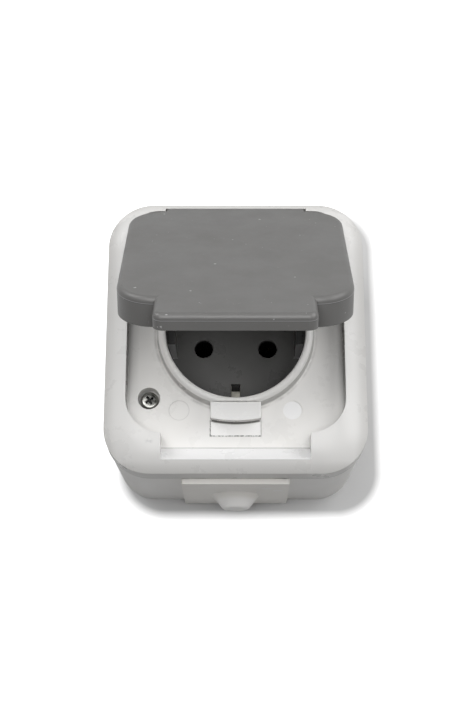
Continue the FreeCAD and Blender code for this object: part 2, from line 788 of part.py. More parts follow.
def gland_plate():
    """Soft entry plate: a flange outside, a neck in the window, a lip inside and a dome."""
    body = make_body("gland_plate")
    half = "(gland_width / 2)"
    flange = sketch_on(body, "XZ_Plane", "gland_gap")
    outline(flange, [
        Corner(f"-{half}", "gland_bottom", "gland_corner"),
        Corner(half, "gland_bottom", "gland_corner"),
        Corner(half, GLAND_TOP, "gland_corner / 2"),
        Corner(f"-{half}", GLAND_TOP, "gland_corner / 2"),
    ])
    pad(body, flange, "gland_thickness")
    neck = sketch_on(body, "XZ_Plane", "gland_gap")
    rectangle(neck, f"-{GLAND_NECK_HALF}", GLAND_NECK_HALF,
              "gland_bottom + gland_overlap + gland_gap", BASE_TOP)
    pad(body, neck, "base_wall + 2 * gland_gap", back=True)
    lip = sketch_on(body, "XZ_Plane", "-base_wall - gland_gap")
    lip_half = f"({half} - gland_lip_inset)"
    rectangle(lip, f"-{lip_half}", lip_half, "gland_bottom + gland_overlap", BASE_TOP)
    pad(body, lip, "gland_lip_thickness", back=True)

    face = "(gland_thickness + gland_gap)"
    skin = "dome_skin"
    dome_turn(body, "Revolution", [
        (f"-{face} + {skin}", "dome_height"),
        (f"-{face} + {skin}", "dome_height + dome_foot_radius"),
        Corner(f"-{face}", "dome_height + dome_foot_radius", "dome_skin / 2"),
        Corner(f"-{face} - dome_reach", "dome_height + dome_tip_radius", "dome_round"),
        (f"-{face} - dome_reach", "dome_height"),
    ])
    dome_turn(body, "Groove", [
        ("cut_past", "dome_height"),
        ("cut_past", f"dome_height + dome_foot_radius - {skin}"),
        (f"-{face}", f"dome_height + dome_foot_radius - {skin}"),
        Corner(f"-{face} - dome_reach + {skin}", f"dome_height + dome_tip_radius - {skin}",
               "dome_round / 2"),
        (f"-{face} - dome_reach + {skin}", "dome_height"),
    ])
    body.Placement = FreeCAD.Placement(Vector(0, 0, 0), FreeCAD.Rotation(Vector(1, 0, 0), 1))
    body.setExpression("Placement.Base.y", bound(f"-({BASE_HALF_LENGTH} - base_draft_inset)"))
    body.setExpression("Placement.Rotation.Angle", bound(f"atan(base_draft_inset / {BASE_TOP})"))
    return body


def dome_turn(body, kind, vertices):
    """Turn a section of the dome about its own axis, the section's lowest edge."""
    section = sketch_on(body, "YZ_Plane")
    outline(section, vertices)
    feature = turned(body, kind, section)
    document.recompute()
    levels = [edge.BoundBox.ZMax for edge in section.Shape.Edges]
    axis = levels.index(min(levels)) + 1
    feature.ReferenceAxis = (section, [f"Edge{axis}"])


def latch_insert():
    """Insert in the cover's window: a flush plate and a nose with a bowed, undercut ledge."""
    body = make_body("latch_insert")
    half = "(latch_width / 2 - latch_gap)"
    front = f"({LATCH_FRONT} + latch_gap)"
    back = f"({LATCH_BACK} - latch_gap)"
    plate = sketch_on(body, "XY_Plane", FIELD_UNDER)
    rectangle(plate, f"-{half}", half, front, back)
    pad(body, plate, "field_thickness")
    neck = sketch_on(body, "XY_Plane", f"{FIELD_UNDER} + field_thickness / 2")
    rectangle(neck, f"-{half}", half, f"{LATCH_NOSE} + latch_undercut", back)
    pad(body, neck, "field_thickness / 2 + latch_nose_height - latch_ledge / 2")
    ledge = sketch_on(body, "XY_Plane", f"{FIELD} + latch_nose_height - latch_ledge")
    outline(ledge, [
        Bow(f"-{half}", LATCH_NOSE, "latch_bow_radius", 1),
        (half, LATCH_NOSE),
        (half, back),
        (f"-{half}", back),
    ])
    ledge_pad = pad(body, ledge, "latch_ledge")
    rim = edges_where(ledge_pad, flat_at(f"{FIELD} + latch_nose_height"))
    dressed(body, "Fillet", ledge_pad, rim, "latch_edge_round")
    clip = sketch_on(body, "XY_Plane", FIELD_UNDER)
    clip_half = f"({half} + latch_clip)"
    rectangle(clip, f"-{clip_half}", clip_half, f"{front} + latch_clip_front",
              f"{LATCH_BACK} - latch_clip_back")
    pad(body, clip, "latch_clip_thickness", back=True)
    return body


def hinged_lid():
    """Lid about its hinge axis: plate, skirt, front grip, hinge tab, knuckles, seal ribs, hook."""
    body = make_body("hinged_lid")
    top = "lid_rise"
    front = f"({LID_FRONT} - {HINGE_Y})"
    back = f"({LID_BACK} - {HINGE_Y})"
    under = "(lid_rise - lid_plate)"
    bottom = f"(lid_rise - {LID_DEPTH})"
    shell = sketch_on(body, "XY_Plane", top)
    lid_outline(shell, front, back, "0")
    pad(body, shell, LID_DEPTH, back=True)
    grip = sketch_on(body, "XY_Plane", top)
    outline(grip, [
        Corner(f"-{GRIP_HALF}", f"{front} - grip_reach", "grip_corner"),
        Corner(GRIP_HALF, f"{front} - grip_reach", "grip_corner"),
        (GRIP_HALF, f"{front} + lid_wall"),
        (f"-{GRIP_HALF}", f"{front} + lid_wall"),
    ])
    pad(body, grip, "grip_depth", back=True)
    tab = sketch_on(body, "XY_Plane", top)
    rectangle(tab, f"-{HINGE_TAB_HALF}", HINGE_TAB_HALF, f"{back} - lid_wall",
              f"{back} + hinge_tab_reach")
    tab_pad = pad(body, tab, "hinge_tab_thickness", back=True)
    dressed(body, "Fillet", tab_pad, edges_where(tab_pad, flat_at(top)), "lid_edge_round")

    hollow = sketch_on(body, "XY_Plane", bottom)
    lid_outline(hollow, front, back, "lid_wall")
    pocket(body, hollow, f"{LID_DEPTH} - lid_plate", back=True)
    grip_hollow = sketch_on(body, "XY_Plane", f"{top} - grip_depth")
    grip_inner = f"({GRIP_HALF} - grip_wall)"
    rectangle(grip_hollow, f"-{grip_inner}", grip_inner, f"{front} - grip_reach + grip_wall", front)
    pocket(body, grip_hollow, "grip_depth - lid_plate", back=True)
    bay = sketch_on(body, "XY_Plane", bottom)
    bay_half = "(lug_inner + lug_width + knuckle_gap + knuckle_width + knuckle_bay_gap)"
    rectangle(bay, f"-{bay_half}", bay_half, f"{back} - 3 * lid_wall",
              f"{back} + hinge_tab_reach + cut_past")
    pocket(body, bay, f"{LID_DEPTH} - lid_plate", back=True)
    knuckles(body, under)
    for inner, outer in (("seal_inner_radius - pin_clearance - seal_rib",
                          "seal_inner_radius - pin_clearance"),
                         ("seal_outer_radius + pin_clearance",
                          "seal_outer_radius + pin_clearance + seal_rib")):
        rib = sketch_on(body, "XY_Plane", f"{under} + lid_plate / 2")
        circle(rib, "0", f"socket_centre - {HINGE_Y}", inner)
        circle(rib, "0", f"socket_centre - {HINGE_Y}", outer)
        pad(body, rib, "lid_plate / 2 + seal_rib_depth", back=True)
    hook = sketch_on(body, "YZ_Plane")
    outline(hook, [
        (f"{front} + lid_wall / 2", f"{bottom} + hook_low"),
        (f"{front} + lid_wall", f"{bottom} + hook_low"),
        (f"{front} + lid_wall + hook_reach", f"{bottom} + hook_edge"),
        (f"{front} + lid_wall", f"{bottom} + hook_high"),
        (f"{front} + lid_wall / 2", f"{bottom} + hook_high"),
    ])
    pad(body, hook, "latch_width - 2 * hook_side_gap", both=True)
    place_on_hinge(body)
    return body


def lid_outline(sketch, front, back, inset):
    """The lid's rounded outline, drawn in by an inset."""
    half = f"({LID_HALF} - {inset})"
    corner = f"lid_corner - {inset}"
    outline(sketch, [
        Corner(f"-{half}", f"{front} + {inset}", corner),
        Corner(half, f"{front} + {inset}", corner),
        Corner(half, f"{back} - {inset}", corner),
        Corner(f"-{half}", f"{back} - {inset}", corner),
    ])


def knuckles(body, under):
    """Two knuckles under the lid's plate, bored to turn on the hinge pin."""
    knuckle = sketch_on(body, "YZ_Plane", "lug_inner + lug_width + knuckle_gap")
    outline(knuckle, [
        Bow("-knuckle_radius", "0", f"knuckle_radius * {HALF_TURN}", 1),
        ("knuckle_radius", "0"),
        ("knuckle_radius", f"{under} + lid_plate / 2"),
        ("-knuckle_radius", f"{under} + lid_plate / 2"),
    ])
    knuckle_pad = pad(body, knuckle, "knuckle_width")
    mirrored(body, [knuckle_pad], "YZ_Plane")
    bore = sketch_on(body, "YZ_Plane")
    circle(bore, "0", "0", "pin_diameter / 2 + pin_clearance")
    pocket(body, bore, "pin_length + 2 * knuckle_gap", both=True)


def place_on_hinge(body):
    """Put a body drawn about the hinge axis on that axis, at the opening it rests at."""
    body.Placement = FreeCAD.Placement(Vector(0, 0, 0), FreeCAD.Rotation(Vector(1, 0, 0), 1))
    body.setExpression("Placement.Base.y", bound(HINGE_Y))
    body.setExpression("Placement.Base.z", bound(HINGE_Z))
    body.setExpression("Placement.Rotation.Angle", bound("-lid_open_angle"))


def lid_seal():
    """Rubber ring in the lid that meets the collar when the lid is shut."""
    body = make_body("lid_seal")
    ring = sketch_on(body, "XY_Plane", "lid_rise - lid_plate")
    circle(ring, "0", f"socket_centre - {HINGE_Y}", "seal_inner_radius")
    circle(ring, "0", f"socket_centre - {HINGE_Y}", "seal_outer_radius")
    pad(body, ring, "hinge_rise + lid_rise - lid_plate - collar_rise - seal_standoff", back=True)
    place_on_hinge(body)
    return body


def hinge_pin():
    """Steel pin pressed into the cover's lugs."""
    body = make_body("hinge_pin")
    section = sketch_on(body, "YZ_Plane")
    circle(section, HINGE_Y, HINGE_Z, "pin_diameter / 2")
    rod = pad(body, section, "pin_length", both=True)
    ends = edges_where(rod, lambda box, edge: box.XLength < SAME_LEVEL)
    dressed(body, "Chamfer", rod, ends, "pin_chamfer")
    return body


def cover_screw(name, place):
    """Pan-head screw with a cross recess, sunk in the cover's counterbore."""
    body = make_body(name)
    x, y = place
    top = f"({SCREW_SEAT} + screw_head_height)"
    head = sketch_on(body, "XY_Plane", SCREW_SEAT)
    circle(head, x, y, "screw_head_diameter / 2")
    disc = pad(body, head, "screw_head_height")
    dressed(body, "Fillet", disc, edges_where(disc, flat_at(top)), "screw_head_round")
    shank = sketch_on(body, "XY_Plane", f"{SCREW_SEAT} + screw_head_height / 2")
    circle(shank, x, y, "screw_shank_diameter / 2")
    pad(body, shank, "screw_shank_length + screw_head_height / 2", back=True)
    for along, across in (("cross_length", "cross_width"), ("cross_width", "cross_length")):
        slot = sketch_on(body, "XY_Plane", top)
        rectangle(slot, f"{x} - {along} / 2", f"{x} + {along} / 2",
                  f"{y} - {across} / 2", f"{y} + {across} / 2")
        pocket(body, slot, "cross_depth")
    return body


def socket_insert():
    """Dark well: wall, floor, flange, side guides, pin tubes and slots for the earth clips."""
    body = make_body("socket_insert")
    section = sketch_on(body, "XZ_Plane", "-socket_centre")
    flange_top = f"({FIELD_UNDER} - insert_clearance / 2)"
    outline(section, [
        ("0", BLOCK_TOP),
        (INSERT_OUTER, BLOCK_TOP),
        (INSERT_OUTER, f"{flange_top} - well_flange_thickness"),
        (f"{INSERT_OUTER} + well_flange", f"{flange_top} - well_flange_thickness"),
        (f"{INSERT_OUTER} + well_flange", flange_top),
        (INSERT_OUTER, flange_top),
        (INSERT_OUTER, INSERT_TOP),
        ("well_radius", INSERT_TOP),
        Corner("well_radius", WELL_FLOOR, "well_foot_round"),
        ("0", WELL_FLOOR),
    ])
    turned(body, "Revolution", section)
    for side in (1, -1):
        inner = f"({side} * guide_spacing / 2)"
        outer = f"({side} * (well_radius + well_wall / 2))"
        left, right = (inner, outer) if side > 0 else (outer, inner)
        guide = sketch_on(body, "XY_Plane", f"{WELL_FLOOR} - insert_floor / 2")
        rectangle(guide, left, right, "socket_centre - guide_width / 2",
                  "socket_centre + guide_width / 2")
        pad(body, guide, "well_depth - guide_drop + insert_floor / 2")
        tube = sketch_on(body, "XY_Plane", f"{WELL_FLOOR} - insert_floor / 2")
        circle(tube, f"{side} * pin_spacing / 2", "socket_centre",
               "pin_hole_diameter / 2 + pin_tube_wall")
        pad(body, tube, "insert_floor / 2 + pin_tube_length", back=True)
    for side in (1, -1):
        hole = sketch_on(body, "XY_Plane", WELL_FLOOR)
        circle(hole, f"{side} * pin_spacing / 2", "socket_centre", "pin_hole_diameter / 2")
        last = pocket(body, hole, "insert_floor + pin_tube_length")
    floor_edge = flat_at(WELL_FLOOR)
    across = value("pin_hole_diameter")
    mouths = edges_where(last, lambda box, edge: floor_edge(box, edge)
                         and abs(box.XLength - across) < SAME_LEVEL)
    dressed(body, "Chamfer", last, mouths, "pin_hole_lead")
    for side in (1, -1):
        slot = sketch_on(body, "XY_Plane", BLOCK_TOP)
        near = f"(socket_centre + {side} * earth_slot_start)"
        far = f"(socket_centre + {side} * ({INSERT_OUTER} + cut_past))"
        low, high = (near, far) if side > 0 else (far, near)
        rectangle(slot, "-earth_slot_width / 2", "earth_slot_width / 2", low, high)
        pocket(body, slot, f"{INSERT_TOP} - earth_slot_drop - {BLOCK_TOP}", back=True)
    return body


def contact_block():
    """Moulded block under the well: contact chambers, an earth channel and wire ways."""
    body = make_body("contact_block")
    half = "(block_width / 2)"
    low, high = "(socket_centre - block_length / 2)", "(socket_centre + block_length / 2)"
    shape = sketch_on(body, "XY_Plane", BLOCK_BOTTOM)
    outline(shape, [
        Corner(f"-{half}", low, "block_corner"),
        Corner(half, low, "block_corner"),
        Corner(half, high, "block_corner"),
        Corner(f"-{half}", high, "block_corner"),
    ])
    pad(body, shape, f"{BLOCK_TOP} - {BLOCK_BOTTOM}")
    for side in (1, -1):
        centre = f"({side} * pin_spacing / 2)"
        left, right = f"{centre} - chamber_width / 2", f"{centre} + chamber_width / 2"
        chamber = sketch_on(body, "XY_Plane", BLOCK_TOP)
        rectangle(chamber, left, right, "socket_centre - chamber_width / 2",
                  "socket_centre + chamber_width / 2")
        pocket(body, chamber, CHAMBER_DEPTH)
        terminal_chamber = sketch_on(body, "XY_Plane", BLOCK_TOP)
        rectangle(terminal_chamber, left, right, f"{TERMINAL_MIDDLE} - terminal_chamber_length / 2",
                  "socket_centre")
        pocket(body, terminal_chamber, "terminal_chamber_depth")
        wire_way = sketch_on(body, "XZ_Plane", "block_length / 2 - socket_centre")
        circle(wire_way, centre, WIRE_HEIGHT, "wire_hole / 2")
        pocket(body, wire_way, "block_length / 2")
        screw_x, screw_y = f"({side} * {BLOCK_SCREW_X})", "(socket_centre + block_screw_reach)"
        bore = sketch_on(body, "XY_Plane", BLOCK_TOP)
        circle(bore, screw_x, screw_y, "terminal_screw_diameter / 2 + insert_clearance")
        pocket(body, bore, f"{BLOCK_TOP} - {BLOCK_BOTTOM}")
        sink = sketch_on(body, "XY_Plane", BLOCK_TOP)
        circle(sink, screw_x, screw_y, "screw_head_diameter / 2 + insert_clearance / 2")
        pocket(body, sink, "block_screw_drop")
    channel = sketch_on(body, "XY_Plane", BLOCK_TOP)
    rectangle(channel, "-strap_width / 2 - insert_clearance", "strap_width / 2 + insert_clearance",
              f"{low} - cut_past", f"{high} + cut_past")
    pocket(body, channel, "strap_thickness")
    pad_bay = sketch_on(body, "XY_Plane", BLOCK_TOP)
    square(pad_bay, "strap_pad / 2 + insert_clearance")
    pocket(body, pad_bay, "strap_bay_depth")
    tapped = sketch_on(body, "XY_Plane", BLOCK_TOP)
    circle(tapped, "0", "socket_centre", "terminal_screw_diameter / 2 + insert_clearance")
    pocket(body, tapped, "earth_bore_depth")
    return body


def square(sketch, half):
    """Square about the socket's centre."""
    rectangle(sketch, f"-({half})", half, f"socket_centre - ({half})", f"socket_centre + ({half})")


def contact(name, side):
    """Spring sleeve for one pin, slit along its side, with a tail under the terminal."""
    body = make_body(name)
    centre = f"({side} * pin_spacing / 2)"
    top = f"({BLOCK_TOP} - sleeve_drop)"
    length = f"({CHAMBER_DEPTH} - sleeve_drop)"
    sleeve = sketch_on(body, "XY_Plane", top)
    circle(sleeve, centre, "socket_centre", "sleeve_bore / 2 + sleeve_wall")
    pad(body, sleeve, length, back=True)
    tail = sketch_on(body, "XY_Plane", f"{BLOCK_TOP} - terminal_chamber_depth")
    rectangle(tail, f"{centre} - terminal_size / 2", f"{centre} + terminal_size / 2",
              f"{TERMINAL_MIDDLE} - terminal_size / 2", "socket_centre")
    pad(body, tail, "sleeve_wall")
    bore = sketch_on(body, "XY_Plane", top)
    circle(bore, centre, "socket_centre", "sleeve_bore / 2")
    pocket(body, bore, length)
    slit = sketch_on(body, "XY_Plane", top)
    rectangle(slit, f"{centre} - sleeve_slit / 2", f"{centre} + sleeve_slit / 2", "socket_centre",
              "socket_centre + sleeve_bore")
    pocket(body, slit, length)
    return body


def terminal(name, side):
    """Brass terminal: a block with a wire hole across and a tapped hole from above."""
    body = make_body(name)
    centre = f"({side} * pin_spacing / 2)"
    shape = sketch_on(body, "XY_Plane", TERMINAL_FLOOR)
    rectangle(shape, f"{centre} - terminal_size / 2", f"{centre} + terminal_size / 2",
              f"{TERMINAL_MIDDLE} - terminal_size / 2",
              f"{TERMINAL_MIDDLE} + terminal_size / 2 - terminal_gap")
    pad(body, shape, "terminal_height")
    wire = sketch_on(body, "XZ_Plane", f"terminal_size / 2 - {TERMINAL_MIDDLE}")
    circle(wire, centre, WIRE_HEIGHT, "wire_hole / 2")
    pocket(body, wire, "terminal_size")
    tapped = sketch_on(body, "XY_Plane", TERMINAL_TOP)
    circle(tapped, centre, TERMINAL_MIDDLE, "terminal_screw_diameter / 2")
    pocket(body, tapped, "terminal_height / 2")
    return body


def headless_screw(name, x, y, top, length):
    """Slotted screw without a head."""
    body = make_body(name)
    shank = sketch_on(body, "XY_Plane", top)
    circle(shank, x, y, "terminal_screw_diameter / 2")
    pad(body, shank, length, back=True)
    driver_slot(body, x, y, top, "terminal_screw_diameter")
    return body


def driver_slot(body, x, y, top, length):
    """Straight slot for a screwdriver across the top of a screw."""
    slot = sketch_on(body, "XY_Plane", top)
    rectangle(slot, f"{x} - {length}", f"{x} + {length}", f"{y} - slot_width / 2",
              f"{y} + slot_width / 2")
    pocket(body, slot, "slot_depth")


def terminal_screw(name, side):
    """Clamping screw in a terminal."""
    return headless_screw(name, f"({side} * pin_spacing / 2)", TERMINAL_MIDDLE,
                          f"({TERMINAL_TOP} + terminal_screw_proud)", "terminal_screw_length")


def block_screw(name, side):
    """Cheese-head screw that holds the contact block on its post."""
    body = make_body(name)
    x, y = f"({side} * {BLOCK_SCREW_X})", "(socket_centre + block_screw_reach)"
    head = sketch_on(body, "XY_Plane", BLOCK_SCREW_SEAT)
    circle(head, x, y, "screw_head_diameter / 2")
    pad(body, head, "screw_head_height")
    shank = sketch_on(body, "XY_Plane", f"{BLOCK_SCREW_SEAT} + screw_head_height / 2")
    circle(shank, x, y, "terminal_screw_diameter / 2")
    shank_end = "(base_floor / 2 + insert_clearance)"
    pad(body, shank, f"{BLOCK_SCREW_SEAT} + screw_head_height / 2 - {shank_end}", back=True)
    driver_slot(body, x, y, f"{BLOCK_SCREW_SEAT} + screw_head_height", "screw_head_diameter")
    return body


def earth_strap():
    """Sprung strap under the well floor whose ends rise through the slots as earth clips."""
    body = make_body("earth_strap")
    strip = sketch_on(body, "YZ_Plane")
    right = clip_side("+")
    left = clip_side("-")
    outline(strip, right + left[::-1])
    pad(body, strip, "strap_width", both=True)
    pad_plate = sketch_on(body, "XY_Plane", STRAP_UNDER)
    square(pad_plate, "strap_pad / 2")
    pad(body, pad_plate, "strap_thickness")
    bore = sketch_on(body, "XY_Plane", STRAP_UNDER)
    circle(bore, "0", "socket_centre", "terminal_screw_diameter / 2 + pin_clearance")
    pocket(body, bore, "strap_thickness", back=True)
    return body


def clip_side(sign):
    """One end of the strap's outline: up the clip's back, over its tip and down its face."""
    nose = f"({WELL_FLOOR} + clip_nose_height)"
    tip = f"({WELL_FLOOR} + clip_tip_height)"

    def at(reach, skin="0"):
        return f"socket_centre {sign} ({reach} + {skin})"

    return [
        Corner(at("clip_foot", "strap_thickness"), STRAP_UNDER, "clip_bend"),
        (at("clip_foot", "strap_thickness"), f"{nose} - clip_straight"),
        Corner(at("clip_nose", "strap_thickness"), nose, "clip_bend"),
        (at("clip_tip", "strap_thickness"), tip),
        (at("clip_tip"), f"{tip} + clip_tip_rise"),
        Corner(at("clip_nose"), nose, "clip_nose_bend"),
        (at("clip_foot"), f"{nose} - clip_straight"),
        (at("clip_foot"), BLOCK_TOP),
    ]


def earth_clamp():
    """Square clamping plate that the earth screw draws up under the strap."""
    body = make_body("earth_clamp")
    shape = sketch_on(body, "XY_Plane", CLAMP_TOP)
    square(shape, "strap_pad / 2 - insert_clearance")
    pad(body, shape, "clamp_thickness", back=True)
    bore = sketch_on(body, "XY_Plane", CLAMP_TOP)
    circle(bore, "0", "socket_centre", "terminal_screw_diameter / 2")
    pocket(body, bore, "clamp_thickness")
    return body


def earth_screw():
    """Headless slotted screw through the strap's pad into the clamping plate."""
    return headless_screw("earth_screw", "0", "socket_centre", f"({BLOCK_TOP} - earth_screw_drop)",
                          "earth_screw_length")


def build_all():
    """Every sub-part of the socket."""
    return [
        base_box(),
        base_gasket(),
        gland_plate(),
        front_cover(),
        latch_insert(),
        cover_screw("cover_screw_lower", LOWER_SCREW),
        cover_screw("cover_screw_upper", UPPER_SCREW),
        hinge_pin(),
        hinged_lid(),
        lid_seal(),
        socket_insert(),
        contact_block(),
        contact("left_contact", -1),
        contact("right_contact", 1),
        terminal("left_terminal", -1),
        terminal("right_terminal", 1),
        terminal_screw("left_terminal_screw", -1),
        terminal_screw("right_terminal_screw", 1),
        block_screw("left_block_screw", -1),
        block_screw("right_block_screw", 1),
        earth_strap(),
        earth_clamp(),
        earth_screw(),
    ]


def check_document():
    """Stop if any object of the document failed."""
    for item in document.Objects:
        if "Invalid" in item.State or "Error" in item.State:
            raise RuntimeError(f"{item.Name} failed: {item.State}")


def write_parts(bodies):
    """Write each sub-part as a STEP file named after its node."""
    for body in bodies:
        if body.Shape.isNull() or not body.Shape.isValid():
            raise RuntimeError(f"{body.Label} has no valid shape")
    os.makedirs("parts", exist_ok=True)
    for body in bodies:
        body.Shape.exportStep(f"parts/{body.Label}.step")
        print(f"{body.Label}: {len(body.Shape.Solids)} solid, {body.Shape.Volume:.1f} mm3")


fill_sheet()
sub_parts = build_all()
document.recompute()
check_document()
write_parts(sub_parts)
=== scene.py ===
"""Looks of the weatherproof socket: finishes, camera, light and floor around its CAD frame.

Metres, in the CAD frame: +Z out of the wall, +Y up the wall towards the hinge, +X right.
Sizes and places are written in millimetres. MM turns them into metres, and in the finishes
ramp, within and reach do so.
"""
import json
import math

import bpy
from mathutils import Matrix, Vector


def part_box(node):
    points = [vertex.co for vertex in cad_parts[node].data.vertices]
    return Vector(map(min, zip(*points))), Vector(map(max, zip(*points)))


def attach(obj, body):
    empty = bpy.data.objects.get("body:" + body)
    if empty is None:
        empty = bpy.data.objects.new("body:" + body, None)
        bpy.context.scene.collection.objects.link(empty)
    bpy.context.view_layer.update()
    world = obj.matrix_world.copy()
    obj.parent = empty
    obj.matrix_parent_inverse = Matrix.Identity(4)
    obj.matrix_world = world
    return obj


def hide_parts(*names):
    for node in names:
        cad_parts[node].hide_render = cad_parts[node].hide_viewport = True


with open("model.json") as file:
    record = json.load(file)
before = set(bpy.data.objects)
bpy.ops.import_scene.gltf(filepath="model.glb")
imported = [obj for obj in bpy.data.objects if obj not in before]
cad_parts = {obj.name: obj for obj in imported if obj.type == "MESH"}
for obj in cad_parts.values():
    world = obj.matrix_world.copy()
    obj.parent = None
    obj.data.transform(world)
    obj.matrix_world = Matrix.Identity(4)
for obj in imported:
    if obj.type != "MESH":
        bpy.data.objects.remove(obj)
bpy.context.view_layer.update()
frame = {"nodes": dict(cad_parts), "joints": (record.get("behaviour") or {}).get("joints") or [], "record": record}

MM = 0.001
WHITE = (1, 1, 1, 1)

# The lid's hinge, in metres, and the angle at which the lid stands open at rest
HINGE = frame["joints"][0]
HINGE_Y, HINGE_Z = HINGE["pos_m"][1:]
LID_OPEN = math.radians(-HINGE["range_deg"][0])

# Places on the parts, in millimetres, that the marks in the finishes follow
SOCKET_Y = 1.0
PIN_HOLE_X = 9.5
SEAM_Z = 34.45
FIELD_Z = 38.5
COLLAR_SIDE = 22.4
RECESS_WALL_X = 30.8
RECESS_WALL_Z = 41.0
SILL_FOOT_Y = -32.7
SILL_Y = -34.8
SILL_Z = 40.9
NOTCH_HALF_WIDTH = 20.9
LATCH_SIDE_X = 7.15
LATCH_MIDDLE_Y = -27.0
LATCH_FRONT_Y = -29.2
NOSE_FRONT_Y = -24.8
NOSE_FRONT_Z = 40.3
NOSE_BOW_CENTRE_Y = 6.35
NOSE_BOW_RADIUS = 31.55
EJECTOR_X = 16.05
EJECTOR_Y = -21.7


def linear(tone):
    """Linear value of a tone on screen, 0 to 255."""
    return ((tone / 255 + 0.055) / 1.055) ** 2.4


def grey(tone, warmth=0.0):
    """Linear colour of a grey or white from its tone on screen, warmed a little."""
    middle = linear(tone)
    return (middle * (1 + warmth / 2), middle, middle * (1 - warmth), 1)


def screen(red, green, blue):
    """Linear colour from its three tones on screen."""
    return (linear(red), linear(green), linear(blue), 1)


class Finish:
    """A procedural material, built node by node around one Principled shader."""

    def __init__(self, name):
        self.material = bpy.data.materials.new(name)
        self.material.use_nodes = True
        self.tree = self.material.node_tree
        self.shader = self.tree.nodes["Principled BSDF"]
        self.place = self.node("ShaderNodeTexCoord").outputs["Object"]

    def node(self, kind, **settings):
        """New node of a kind, with its settings."""
        made = self.tree.nodes.new(kind)
        for key, setting in settings.items():
            setattr(made, key, setting)
        return made

    def link(self, source, target):
        self.tree.links.new(source, target)

    def noise(self, size_mm, detail=3.0, roughness=0.5, stretch=(1, 1, 1)):
        """Noise whose blotches are about this wide."""
        mapping = self.node("ShaderNodeMapping")
        mapping.inputs["Scale"].default_value = stretch
        self.link(self.place, mapping.inputs["Vector"])
        made = self.node("ShaderNodeTexNoise")
        made.inputs["Scale"].default_value = 1 / (size_mm * MM)
        made.inputs["Detail"].default_value = detail
        made.inputs["Roughness"].default_value = roughness
        self.link(mapping.outputs["Vector"], made.inputs["Vector"])
        return made.outputs["Fac"]

    def blend(self, factor, first, second):
        """Colour between two, by a factor."""
        mix = self.node("ShaderNodeMix", data_type="RGBA")
        self.link(factor, mix.inputs["Factor"])
        for socket, colour in ((mix.inputs[6], first), (mix.inputs[7], second)):
            if isinstance(colour, tuple):
                socket.default_value = colour
            else:
                self.link(colour, socket)
        return mix.outputs[2]

    def between(self, value, low, high, out_low=0.0, out_high=1.0):
        """Value carried from one range to another, and held at its ends."""
        carry = self.node("ShaderNodeMapRange")
        for name, number in (("From Min", low), ("From Max", high), ("To Min", out_low),
                             ("To Max", out_high)):
            carry.inputs[name].default_value = number
        self.link(value, carry.inputs["Value"])
        return carry.outputs["Result"]

    def join(self, operation, first, second):
        """Two values, or a value and a number, through one step of arithmetic."""
        step = self.node("ShaderNodeMath", operation=operation)
        for socket, item in ((step.inputs[0], first), (step.inputs[1], second)):
            if isinstance(item, (int, float)):
                socket.default_value = item
            else:
                self.link(item, socket)
        return step.outputs[0]

    def absolute(self, value):
        """Size of a value, without its sign."""
        return self.join("ABSOLUTE", value, 0.0)

    def axis(self, name):
        """One coordinate of the surface, in metres."""
        parts = self.node("ShaderNodeSeparateXYZ")
        self.link(self.place, parts.inputs[0])
        return parts.outputs[name]

    def bump(self, height, depth_mm, strength, after=None):
        """Normal bumped by a height, on top of another bump if one is given."""
        made = self.node("ShaderNodeBump")
        made.inputs["Distance"].default_value = depth_mm * MM
        made.inputs["Strength"].default_value = strength
        self.link(height, made.inputs["Height"])
        if after is not None:
            self.link(after, made.inputs["Normal"])
        return made.outputs["Normal"]

    def set(self, **values):
        """Numbers and colours that are the same all over, on the shader's own sockets."""
        for name, setting in values.items():
            self.shader.inputs[name.replace("_", " ")].default_value = setting


def moulded(name, colour, shade, gloss, speck=None, details=()):
    """Moulded plastic: slow colour drift, a fine spark-eroded grain and rubbed, shinier patches.

    Details are functions that take the finish and a colour, and give the colour changed.
    """
    grain_mm, grain_depth_mm = 0.25, 0.0025
    finish = Finish(name)
    drift = finish.between(finish.noise(14, 4.0), 0.3, 0.7)
    tone = finish.blend(drift, colour, shade)
    if speck is not None:
        spots = finish.between(finish.noise(0.9, 2.0), 0.70, 0.76)
        tone = finish.blend(finish.join("MULTIPLY", spots, 0.35), tone, speck)
    for detail in details:
        tone = detail(finish, tone)
    finish.link(tone, finish.shader.inputs["Base Color"])
    rubbed = finish.between(finish.noise(9, 5.0, 0.6), 0.35, 0.65, gloss - 0.05, gloss + 0.07)
    finish.link(rubbed, finish.shader.inputs["Roughness"])
    ripple = finish.bump(finish.noise(11, 2.0), 0.05, 0.35)
    grain = finish.bump(finish.noise(grain_mm, 4.0, 0.6), grain_depth_mm, 0.5, ripple)
    finish.link(grain, finish.shader.inputs["Normal"])
    finish.set(IOR=1.5)
    return finish


def ramp(finish, value, low_mm, high_mm, out_low=0.0, out_high=1.0):
    """Length carried from a range in millimetres to another range, and held at its ends."""
    return finish.between(value, low_mm * MM, high_mm * MM, out_low, out_high)


def within(finish, value, middle_mm, half_mm, soft_mm=0.04):
    """One inside a band of a length, nought outside, with soft edges."""
    away = finish.absolute(finish.join("SUBTRACT", value, middle_mm * MM))
    return ramp(finish, away, half_mm - soft_mm, half_mm + soft_mm, 1.0, 0.0)


def reach(finish, x_mm, y_mm):
    """Distance from an upright line at this place, in metres."""
    sides = [finish.join("POWER", finish.join("SUBTRACT", finish.axis(name), middle * MM), 2.0)
             for name, middle in (("X", x_mm), ("Y", y_mm))]
    return finish.join("SQRT", finish.join("ADD", *sides), 0.0)


def all_of(finish, *factors):
    """Product of several factors."""
    product = factors[0]
    for factor in factors[1:]:
        product = finish.join("MULTIPLY", product, factor)
    return product


def on_field(finish):
    """One on the sunk field, nought above and below it."""
    return within(finish, finish.axis("Z"), FIELD_Z, 0.3)


